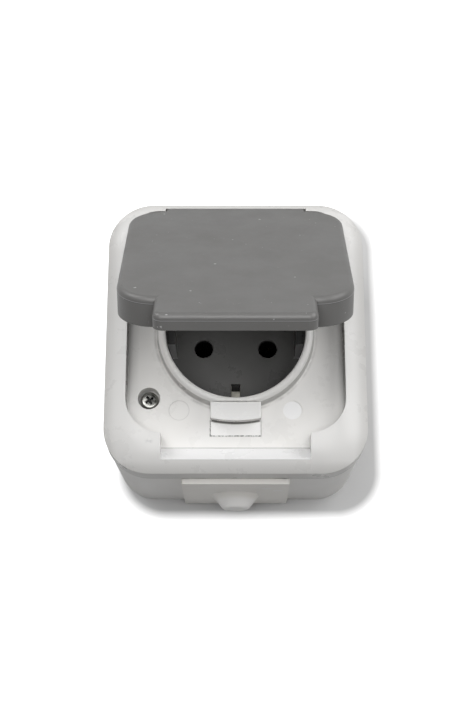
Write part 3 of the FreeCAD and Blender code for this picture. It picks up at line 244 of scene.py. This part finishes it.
def seam_grime(finish, tone):
    """Thin line of dirt along the joint of cover and base, patchy at the left."""
    right_x = (12, 18)
    patchy = finish.between(finish.noise(4, 4.0), 0.35, 0.6, 0.25, 0.8)
    right = ramp(finish, finish.axis("X"), *right_x)
    line = within(finish, finish.axis("Z"), SEAM_Z, 0.28, 0.12)
    share = finish.join("MAXIMUM", patchy, right)
    return finish.blend(all_of(finish, share, line), tone, grey(60, 0.1))


def frame_painted_shade(finish, tone):
    """Frame round the recess, painted darker than the field and the collar as shade."""
    radius = reach(finish, 0.0, SOCKET_Y)
    raised = all_of(finish, ramp(finish, finish.axis("Z"), FIELD_Z + 0.2, FIELD_Z + 0.6),
                    ramp(finish, radius, COLLAR_SIDE + 1.2, COLLAR_SIDE + 1.6))
    return finish.blend(raised, tone, grey(234, 0.02))


def crown_sides_painted_shade(finish, tone):
    """Lower slope of the frame's crown, painted darkest as shade."""
    side_x, end_y, slope_z = (33.0, 35.0), (37.0, 38.6), (39.8, 43.4)
    width = finish.absolute(finish.axis("X"))
    length = finish.absolute(finish.axis("Y"))
    outside = finish.join("MAXIMUM", ramp(finish, width, *side_x), ramp(finish, length, *end_y))
    low = ramp(finish, finish.axis("Z"), *slope_z, 1.0, 0.0)
    return finish.blend(all_of(finish, outside, low), tone, grey(212, 0.03))


def recess_wall_shade(finish, tone):
    """Dimness on the recess's steep side walls and on the field beside them."""
    wall_front_y, wall_back_y = (-25, -14), (16, 20)
    beside_x, beside_y = (27.5, 30.6), (-22, -8)
    width = finish.absolute(finish.axis("X"))
    along = finish.axis("Y")
    wall = all_of(finish, within(finish, width, RECESS_WALL_X, 0.65, 0.2),
                  within(finish, finish.axis("Z"), RECESS_WALL_Z, 2.3, 0.3),
                  ramp(finish, along, *wall_front_y), ramp(finish, along, *wall_back_y, 1.0, 0.0))
    tone = finish.blend(wall, tone, grey(132, 0.03))
    beside = all_of(finish, ramp(finish, width, *beside_x, 0.0, 0.55), on_field(finish),
                    ramp(finish, along, *beside_y))
    return finish.blend(beside, tone, grey(160, 0.03))


def field_shade(finish, tone):
    """Painted shadow of the lid on the field towards the hinge, and a line of painted shade in the crease at the
    sill's foot.
    """
    back_y = (-8, 10)
    along = finish.axis("Y")
    back = all_of(finish, on_field(finish), ramp(finish, along, *back_y, 0.0, 0.4))
    tone = finish.blend(back, tone, grey(176, 0.03))
    crease = all_of(finish, within(finish, along, SILL_FOOT_Y, 0.14, 0.1),
                    within(finish, finish.axis("X"), 0.0, NOTCH_HALF_WIDTH + 0.7, 0.2),
                    within(finish, finish.axis("Z"), FIELD_Z + 0.1, 0.3))
    return finish.blend(finish.join("MULTIPLY", crease, 0.6), tone, grey(150, 0.05))


def collar_shade(finish, tone):
    """Painted shade on the collar's outside, and a patchy ring of painted shade round its foot."""
    radius = reach(finish, 0.0, SOCKET_Y)
    side = all_of(finish, within(finish, radius, COLLAR_SIDE, 0.3, 0.1),
                  within(finish, finish.axis("Z"), FIELD_Z + 1.7, 1.6, 0.4))
    tone = finish.blend(side, tone, grey(184, 0.03))
    foot = all_of(finish, within(finish, radius, COLLAR_SIDE + 0.7, 0.35, 0.25), on_field(finish),
                  finish.between(finish.noise(5, 3.0), 0.4, 0.6, 0.1, 0.5))
    return finish.blend(foot, tone, grey(160, 0.06))


def sill_painted_highlight(finish, tone):
    """Sill of the finger notch, painted whiter than the frame as a highlight."""
    sill = all_of(finish, within(finish, finish.axis("X"), 0.0, NOTCH_HALF_WIDTH, 0.1),
                  within(finish, finish.axis("Y"), SILL_Y, 2.2, 0.1),
                  within(finish, finish.axis("Z"), SILL_Z, 2.3, 0.08))
    return finish.blend(sill, tone, WHITE)


def ejector_marks(finish, tone):
    """Two round mould marks on the field: a faint ring at the left, a pale disc at the right."""
    disc_radius, ring_radius = 2.6, 2.85
    level = within(finish, finish.axis("Z"), FIELD_Z - 0.1, 0.3)
    disc = within(finish, reach(finish, EJECTOR_X, EJECTOR_Y), 0.0, disc_radius, 0.12)
    tone = finish.blend(all_of(finish, disc, level), tone, grey(254))
    ring = within(finish, reach(finish, -EJECTOR_X, EJECTOR_Y), ring_radius, 0.12, 0.08)
    faint = finish.join("MULTIPLY", all_of(finish, ring, level), 0.35)
    return finish.blend(faint, tone, grey(176, 0.03))


def latch_hairline(finish, tone):
    """Dirt caught in the narrow gap round the latch's plate, most of it at the left."""
    width = finish.absolute(finish.axis("X"))
    along = finish.axis("Y")
    specks = finish.between(finish.noise(0.7, 3.0), 0.38, 0.62, 0.05, 0.95)
    left = ramp(finish, finish.axis("X"), -1, 1, 1.0, 0.2)
    sides = all_of(finish, within(finish, width, LATCH_SIDE_X, 0.16, 0.08),
                   within(finish, along, LATCH_MIDDLE_Y, 2.35), left)
    front = all_of(finish, within(finish, along, LATCH_FRONT_Y, 0.16, 0.08),
                   within(finish, width, 0.0, LATCH_SIDE_X + 0.15))
    level = within(finish, finish.axis("Z"), FIELD_Z - 0.3, 0.6)
    lines = finish.join("MAXIMUM", sides, front)
    return finish.blend(all_of(finish, lines, specks, level), tone, grey(70, 0.15))


def nose_shade(finish, tone):
    """Painted shade on the front of the latch's nose, and a painted shadow below its bowed edge."""
    height = finish.axis("Z")
    front = all_of(finish, within(finish, height, NOSE_FRONT_Z, 1.7, 0.08),
                   ramp(finish, finish.axis("Y"), NOSE_FRONT_Y, NOSE_FRONT_Y + 0.3, 1.0, 0.0))
    tone = finish.blend(front, tone, grey(176, 0.04))
    bow = reach(finish, 0.0, NOSE_BOW_CENTRE_Y)
    below = all_of(finish, within(finish, bow, NOSE_BOW_RADIUS, 0.6, 0.15),
                   within(finish, height, FIELD_Z - 0.1, 0.3),
                   within(finish, finish.axis("X"), 0.0, LATCH_SIDE_X - 0.25, 0.2))
    return finish.blend(below, tone, grey(128, 0.04))


def scuffs_and_dome_highlight(finish, tone):
    """Two pale scuff marks on the entry plate, and a painted highlight that makes its dome paler."""
    scuff_places, half_length, half_height = ((8.9, 26.5), (12.2, 23.4)), 1.3, 0.35
    dome_y, dome_highlight_colour = (-43.4, -42.6), (1, 0.99, 0.97, 1)
    for across, height in scuff_places:
        mark = all_of(finish, within(finish, finish.axis("X"), across, half_length, 0.2),
                      within(finish, finish.axis("Z"), height, half_height, 0.2))
        tone = finish.blend(mark, tone, WHITE)
    # Painted highlight: the dome is made paler where light falls on it from above.
    dome = ramp(finish, finish.axis("Y"), *dome_y, 1.0, 0.0)
    return finish.blend(dome, tone, dome_highlight_colour)


def rub_mark(finish, tone):
    """Faint grey rub on the frame's lower left corner."""
    rub_x, rub_y, rub_radius = -24.0, -32.0, (0.4, 1.5)
    spot = ramp(finish, reach(finish, rub_x, rub_y), *rub_radius, 1.0, 0.0)
    streaks = finish.between(finish.noise(0.9, 3.0), 0.4, 0.65)
    faint = finish.between(spot, 0, 1, 0.3, 0.45)
    return finish.blend(all_of(finish, spot, streaks, faint), tone, grey(176))


def dust(finish, tone):
    """A few pale specks on the lid."""
    specks = finish.between(finish.noise(1.6, 1.0), 0.775, 0.80)
    return finish.blend(finish.join("MULTIPLY", specks, 0.7), tone, grey(205))


def well_shade(finish, tone):
    """Pin hole walls painted dark as shade, and guides with a top painted dark as shade and a front painted paler
    as light.
    """
    hole_z, guide_x, guide_top_z = (23.3, 24.4), (17.1, 17.3), (38.0, 38.2)
    guide_front_y, guide_middle_z, guide_half_height = -1.9, 31.5, 6.6
    height = finish.axis("Z")
    tone = finish.blend(ramp(finish, height, *hole_z, 1.0, 0.0), tone, grey(14))
    guide = ramp(finish, finish.absolute(finish.axis("X")), *guide_x)
    top = all_of(finish, guide, ramp(finish, height, *guide_top_z))
    tone = finish.blend(top, tone, grey(84))
    front = all_of(finish, guide, within(finish, finish.axis("Y"), guide_front_y, 0.14),
                   within(finish, height, guide_middle_z, guide_half_height, 0.3))
    return finish.blend(front, tone, grey(215))


def chamber_shade(finish, tone):
    """Dimness in the block's two chambers, behind the slits of the sleeves."""
    half_width, half_length = 4.0, 4.4
    across = finish.absolute(finish.axis("X"))
    inside = all_of(finish, within(finish, across, PIN_HOLE_X, half_width, 0.1),
                    within(finish, finish.axis("Y"), SOCKET_Y, half_length, 0.1))
    return finish.blend(inside, tone, grey(16))


def bore_shade(finish, tone):
    """Painted shade in the sleeves' bores and on their rims."""
    rim_z, bore_radius = (17.2, 17.4), 2.5
    dark = ramp(finish, finish.axis("Z"), *rim_z)
    for side in (-PIN_HOLE_X, PIN_HOLE_X):
        bore = within(finish, reach(finish, side, SOCKET_Y), 0.0, bore_radius)
        dark = finish.join("MAXIMUM", dark, bore)
    return finish.blend(dark, tone, grey(10, 0.2))


def screw_shade(finish, tone):
    """Dimness in the cover screws' cross recesses and round their shanks."""
    recess_z = (35.65, 36.15)
    deep = ramp(finish, finish.axis("Z"), *recess_z, 1.0, 0.0)
    return finish.blend(deep, tone, grey(62))


def lid_parting_highlight_and_shade(finish, tone):
    """Fine mould line round the lid's side, below its rounded edge: a pale edge painted as a highlight, and a dark
    one painted as shade.
    """
    highlight_height, shade_height = 2.82, 2.68
    across = finish.join("SUBTRACT", finish.axis("Y"), HINGE_Y)
    up = finish.join("SUBTRACT", finish.axis("Z"), HINGE_Z)
    height = finish.join("ADD", finish.join("MULTIPLY", across, math.sin(LID_OPEN)),
                         finish.join("MULTIPLY", up, math.cos(LID_OPEN)))
    # Painted highlight on the mould line's edge, then painted shade just below it.
    tone = finish.blend(within(finish, height, highlight_height, 0.09, 0.05), tone, grey(158))
    return finish.blend(within(finish, height, shade_height, 0.06, 0.04), tone, grey(88))


def clip_shade(finish, tone):
    """Dimness on the lower sprung clip, up to its nose."""
    clip_y, nose_z = (-8, -7), (32.2, 33.0)
    clip = all_of(finish, ramp(finish, finish.axis("Y"), *clip_y, 1.0, 0.0),
                  ramp(finish, finish.axis("Z"), *nose_z, 1.0, 0.0))
    return finish.blend(clip, tone, grey(38, 0.1))


def plated_steel(name, colour, gloss, details=(), metallic=1.0):
    """Plated or machined metal: clouded, with fine drawn scratches."""
    dull_share = 0.62
    finish = Finish(name)
    cloud = finish.between(finish.noise(2.2, 4.0), 0.35, 0.7)
    dull = tuple(part * dull_share for part in colour[:3]) + (1,)
    tone = finish.blend(cloud, colour, dull)
    for detail in details:
        tone = detail(finish, tone)
    finish.link(tone, finish.shader.inputs["Base Color"])
    rough = finish.between(finish.noise(0.8, 3.0), 0.3, 0.7, gloss - 0.06, gloss + 0.10)
    finish.link(rough, finish.shader.inputs["Roughness"])
    scratches = finish.bump(finish.noise(0.35, 3.0, 0.6, (1, 6, 1)), 0.01, 0.5)
    finish.link(scratches, finish.shader.inputs["Normal"])
    finish.set(Metallic=metallic)
    return finish


def soft_rubber(name, colour, shade):
    """Rubber: matt, with a powdery bloom."""
    finish = Finish(name)
    bloom = finish.between(finish.noise(3.5, 5.0, 0.6), 0.4, 0.7)
    finish.link(finish.blend(bloom, colour, shade), finish.shader.inputs["Base Color"])
    rough = finish.between(finish.noise(2.0, 3.0), 0.3, 0.7, 0.55, 0.72)
    finish.link(rough, finish.shader.inputs["Roughness"])
    skin = finish.bump(finish.noise(0.3, 4.0), 0.008, 0.5)
    finish.link(skin, finish.shader.inputs["Normal"])
    return finish


# The cover's marks: painted shade on the frame, its crown's slope, the recess walls, the field and the collar, a
# painted highlight on the sill, and its own dirt, mould marks and a rub.
COVER_MARKS = (frame_painted_shade, crown_sides_painted_shade, seam_grime, recess_wall_shade, field_shade,
               collar_shade, sill_painted_highlight, ejector_marks, latch_hairline, rub_mark)

FINISHES = {
    "housing_cover": moulded("satin_white_cover", grey(243, 0.02), grey(240, 0.03), 0.30,
                             details=COVER_MARKS),
    "housing_base": moulded("satin_white_base", grey(240, 0.02), grey(235, 0.03), 0.38,
                            details=(seam_grime,)),
    "lid_plastic": moulded("satin_grey_lid", grey(116, 0.02), grey(112, 0.03), 0.36,
                           speck=grey(146), details=(lid_parting_highlight_and_shade, dust)),
    "latch_plastic": moulded("smooth_white_latch", grey(255, 0.01), grey(253, 0.02), 0.24,
                             details=(latch_hairline, nose_shade)),
    "gland_plastic": moulded("soft_pale_entry_plate", grey(248, 0.04), grey(242, 0.05), 0.42,
                             details=(scuffs_and_dome_highlight,)),
    "insert_plastic": moulded("dark_grey_well", grey(122, 0.02), grey(115, 0.02), 0.30,
                              details=(well_shade,)),
    "block_plastic": moulded("cream_contact_block", grey(216, 0.08), grey(205, 0.10), 0.5,
                             details=(chamber_shade,)),
    "seal_rubber": soft_rubber("black_lid_seal", grey(38), grey(52)),
    "gasket_rubber": soft_rubber("black_gasket", grey(40), grey(56)),
    "zinc_steel": plated_steel("zinc_plated_steel", screen(172, 172, 168), 0.17,
                               (screw_shade,)),
    "pin_steel": plated_steel("drawn_steel_pin", screen(190, 190, 188), 0.24),
    "strap_steel": plated_steel("nickel_plated_strap", screen(232, 228, 216), 0.34,
                                (clip_shade,), 0.35),
    "contact_brass": plated_steel("aged_brass", screen(176, 146, 86), 0.40, (bore_shade,)),
    "terminal_brass": plated_steel("machined_brass", screen(200, 164, 92), 0.28),
}


def dress_nodes():
    """Give every CAD node the finish of its material slot."""
    for part in frame["record"]["subparts"]:
        node = frame["nodes"][part["node"]]
        node.data.materials.clear()
        node.data.materials.append(FINISHES[part["material_slot"]].material)


def alone(piece):
    """Select one object only, and make it the active one."""
    bpy.ops.object.select_all(action="DESELECT")
    piece.select_set(True)
    bpy.context.view_layer.objects.active = piece


def settle(piece):
    """Put the object's place, turn and scale into its mesh."""
    alone(piece)
    bpy.ops.object.transform_apply(location=True, rotation=True, scale=True)


def pick(piece, kind, test):
    """Select, in edit mode, the faces by centre and normal, or the edges or points by place."""
    bpy.ops.object.mode_set(mode="EDIT")
    bpy.ops.mesh.select_mode(type=kind)
    bpy.ops.mesh.select_all(action="DESELECT")
    bpy.ops.object.mode_set(mode="OBJECT")
    mesh = piece.data
    if kind == "FACE":
        for face in mesh.polygons:
            face.select = test(face.center, face.normal)
    elif kind == "EDGE":
        for edge in mesh.edges:
            edge.select = all(test(mesh.vertices[end].co) for end in edge.vertices)
    else:
        for point in mesh.vertices:
            point.select = test(point.co)
    bpy.ops.object.mode_set(mode="EDIT")


def tidy_mesh(piece, angle):
    """Merge doubles, turn normals out, leave edit mode and smooth edges up to an angle."""
    bpy.ops.mesh.select_all(action="SELECT")
    bpy.ops.mesh.remove_doubles(threshold=0.0001 * MM)
    bpy.ops.mesh.normals_make_consistent(inside=False)
    bpy.ops.object.mode_set(mode="OBJECT")
    alone(piece)
    bpy.ops.object.shade_smooth_by_angle(angle=math.radians(angle))


def wear(piece, slot, body, *nodes):
    """Give a piece its finish and its body, and let it stand for its nodes."""
    piece.data.materials.clear()
    piece.data.materials.append(FINISHES[slot].material)
    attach(piece, body)
    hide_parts(*nodes)


def cut_slot(screw, place, angle):
    """Cut one slot of the cross recess into a screw's head, narrower at its foot."""
    length, width, depth = 3.5 * MM, 0.95 * MM, 2.5 * MM
    taper = 0.5
    bpy.ops.object.select_all(action="DESELECT")
    bpy.ops.mesh.primitive_cube_add(size=1, location=place, rotation=(0, 0, math.radians(angle)))
    bar = bpy.context.object
    bar.scale = (length, width, depth)
    settle(bar)
    pick(bar, "FACE", lambda centre, normal: normal.z < -0.9)
    bpy.ops.transform.resize(value=(taper, taper, 1), center_override=place)
    bpy.ops.object.mode_set(mode="OBJECT")
    alone(screw)
    cut = screw.modifiers.new("recess", "BOOLEAN")
    cut.operation = "DIFFERENCE"
    cut.object = bar
    cut.solver = "EXACT"
    bpy.ops.object.modifier_apply(modifier="recess")
    bpy.data.objects.remove(bar)


def cross_screw(node, turn):
    """Pan-head screw with a rounded rim, a tapered cross recess and a pointed shank."""
    head_radius, head_height, rim_round = 2.6 * MM, 1.9 * MM, 0.8 * MM
    shoulder, shank_length = 0.95 * MM, 11.8 * MM
    tip_length, tip_share = 1.4 * MM, 0.45
    low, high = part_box(node)
    x, y, top = (low[0] + high[0]) / 2, (low[1] + high[1]) / 2, high[2]
    bpy.ops.object.select_all(action="DESELECT")
    bpy.ops.mesh.primitive_cylinder_add(vertices=48, radius=head_radius, depth=head_height,
                                        location=(x, y, top - head_height / 2))
    screw = bpy.context.object
    screw.name = node + "_turned"
    settle(screw)
    pick(screw, "FACE", lambda centre, normal: normal.z < -0.9)
    bpy.ops.mesh.inset(thickness=shoulder)
    for length in (shank_length, tip_length):
        bpy.ops.mesh.extrude_region_move(TRANSFORM_OT_translate={"value": (0, 0, -length)})
    bpy.ops.transform.resize(value=(tip_share, tip_share, 1), center_override=(x, y, low[2]))
    pick(screw, "EDGE", lambda point: point.z > top - 0.01 * MM)
    bpy.ops.mesh.bevel(offset=rim_round, segments=6, affect="EDGES")
    bpy.ops.object.mode_set(mode="OBJECT")
    for quarter in (0, 90):
        cut_slot(screw, (x, y, top), turn + quarter)
    bpy.ops.object.mode_set(mode="EDIT")
    tidy_mesh(screw, 30)
    wear(screw, "zinc_steel", "housing", node)


def lip_seal():
    """Rubber ring in the lid with two rounded lips, turned about the socket's axis."""
    radius, width, depth = 21.2 * MM, 1.8 * MM, 3.0 * MM
    groove, lip_round = 1.1 * MM, 0.28 * MM
    near = 0.1 * MM
    bpy.ops.object.select_all(action="DESELECT")
    bpy.ops.mesh.primitive_plane_add(size=1, location=(radius, 0, depth / 2),
                                     rotation=(math.radians(90), 0, 0))
    ring = bpy.context.object
    ring.name = "lid_seal_lips"
    ring.scale = (width, depth, 1)
    settle(ring)
    bpy.ops.object.mode_set(mode="EDIT")
    bpy.ops.mesh.select_all(action="SELECT")
    bpy.ops.mesh.delete(type="ONLY_FACE")
    pick(ring, "EDGE", lambda point: point.z < near)
    bpy.ops.mesh.subdivide(number_cuts=1)
    pick(ring, "VERT", lambda point: point.z < near and abs(point.x - radius) < near)
    bpy.ops.transform.translate(value=(0, 0, groove))
    pick(ring, "VERT", lambda point: point.z < near)
    bpy.ops.mesh.bevel(offset=lip_round, segments=3, affect="VERTICES")
    bpy.ops.mesh.select_all(action="SELECT")
    bpy.ops.mesh.spin(steps=96, angle=math.radians(360), center=(0, 0, 0), axis=(0, 0, 1))
    bpy.ops.mesh.select_all(action="SELECT")
    bpy.ops.transform.translate(value=(0, SOCKET_Y * MM - HINGE_Y, 0))
    tidy_mesh(ring, 40)
    ring.rotation_euler = (-LID_OPEN, 0, 0)
    ring.location = (0, HINGE_Y, HINGE_Z)
    settle(ring)
    wear(ring, "seal_rubber", "lid", "lid_seal")


def place_camera():
    """Camera above the lower edge, looking down into the socket's well."""
    tilt = math.radians(72.25)
    distance = 406.37 * MM
    sideways = 0.38 * MM
    rise = -2.84 * MM
    aim_z = 25.0
    sensor_mm = 36
    focal_px, photo_height_px = 1365.89, 717
    target = Vector((0, SOCKET_Y, aim_z)) * MM
    back = Vector((0, -math.cos(tilt), math.sin(tilt)))
    up = Vector((0, math.sin(tilt), math.cos(tilt)))
    data = bpy.data.cameras.new("photo_camera")
    data.sensor_width = sensor_mm
    data.lens = sensor_mm * focal_px / photo_height_px
    camera = bpy.data.objects.new("photo_camera", data)
    bpy.context.scene.collection.objects.link(camera)
    camera.location = target + back * distance + up * rise + Vector((sideways, 0, 0))
    camera.rotation_euler = (math.pi / 2 - tilt, 0, 0)
    bpy.context.scene.camera = camera


def softbox(name, place_mm, side_mm, watts):
    """Square soft lamp that looks at the middle of the socket."""
    aim_mm = (0, 0, 30)
    data = bpy.data.lights.new(name, "AREA")
    data.shape = "RECTANGLE"
    data.size = data.size_y = side_mm * MM
    data.energy = watts
    item = bpy.data.objects.new(name, data)
    bpy.context.scene.collection.objects.link(item)
    item.location = Vector(place_mm) * MM
    direction = (Vector(aim_mm) - Vector(place_mm)).to_track_quat("-Z", "Y")
    item.rotation_euler = direction.to_euler()


def light_studio():
    """One large lamp above, and four weaker ones round it."""
    softbox("overhead_softbox", (0, -60, 560), 400, 1.60)
    softbox("left_upper_softbox", (-250, 40, 520), 200, 0.24)
    softbox("right_softbox", (420, 60, 380), 300, 0.68)
    softbox("left_rear_softbox", (-380, 330, 330), 300, 1.12)
    softbox("right_rear_softbox", (380, 330, 330), 300, 0.84)


def light_air():
    """White surroundings: faint as light, dim in reflections, and full white to the camera."""
    world = bpy.data.worlds.new("studio_air")
    bpy.context.scene.world = world
    world.use_nodes = True
    tree = world.node_tree
    air = tree.nodes["Background"]
    air.inputs["Color"].default_value = WHITE
    air.inputs["Strength"].default_value = 0.02
    path = tree.nodes.new("ShaderNodeLightPath")
    shown = air.outputs[0]
    for ray, strength in (("Is Glossy Ray", 0.25), ("Is Transmission Ray", 1.0),
                          ("Is Camera Ray", 1.0)):
        seen = tree.nodes.new("ShaderNodeBackground")
        seen.inputs["Color"].default_value = WHITE
        seen.inputs["Strength"].default_value = strength
        mix = tree.nodes.new("ShaderNodeMixShader")
        tree.links.new(path.outputs[ray], mix.inputs["Fac"])
        tree.links.new(shown, mix.inputs[1])
        tree.links.new(seen.outputs[0], mix.inputs[2])
        shown = mix.outputs[0]
    tree.links.new(shown, tree.nodes["World Output"].inputs["Surface"])


def lay_floor():
    """White board showing its lit shading on a patch round the socket, shifted right and down, and beyond it a
    painted glow to the camera that turns it pure white, as in a studio shot.
    """
    board_side = 3.0
    board_colour = (0.66, 0.66, 0.66, 1)
    glow_ramp_mm = (12, 16.5)
    bpy.ops.mesh.primitive_plane_add(size=board_side, location=(0, 0, 0))
    floor = bpy.context.object
    floor.name = "floor"
    finish = Finish("white_board")
    finish.set(Base_Color=board_colour, Roughness=0.9, Specular_IOR_Level=0.0,
               Emission_Color=WHITE)
    path = finish.node("ShaderNodeLightPath")
    shaded_patch_mm = (("X", 4.5, 26.0), ("Y", 6.0, 36.5))
    sides = []
    for name, middle_mm, half_mm in shaded_patch_mm:
        shift = finish.join("SUBTRACT", finish.axis(name), middle_mm * MM)
        past = finish.join("SUBTRACT", finish.absolute(shift), half_mm * MM)
        sides.append(finish.join("POWER", finish.join("MAXIMUM", past, 0.0), 2.0))
    away = finish.join("SQRT", finish.join("ADD", *sides), 0.0)
    glow_share = ramp(finish, away, *glow_ramp_mm)
    # Painted light: the board glows white to the camera only, outside the shaded patch round the socket.
    glow = finish.join("MULTIPLY", path.outputs["Is Camera Ray"], glow_share)
    finish.link(glow, finish.shader.inputs["Emission Strength"])
    floor.data.materials.append(finish.material)


bpy.ops.object.select_all(action="DESELECT")
dress_nodes()
cross_screw("cover_screw_lower", 33)
cross_screw("cover_screw_upper", 62)
lip_seal()
place_camera()
light_studio()
light_air()
lay_floor()
bpy.context.scene.view_settings.view_transform = "Standard"
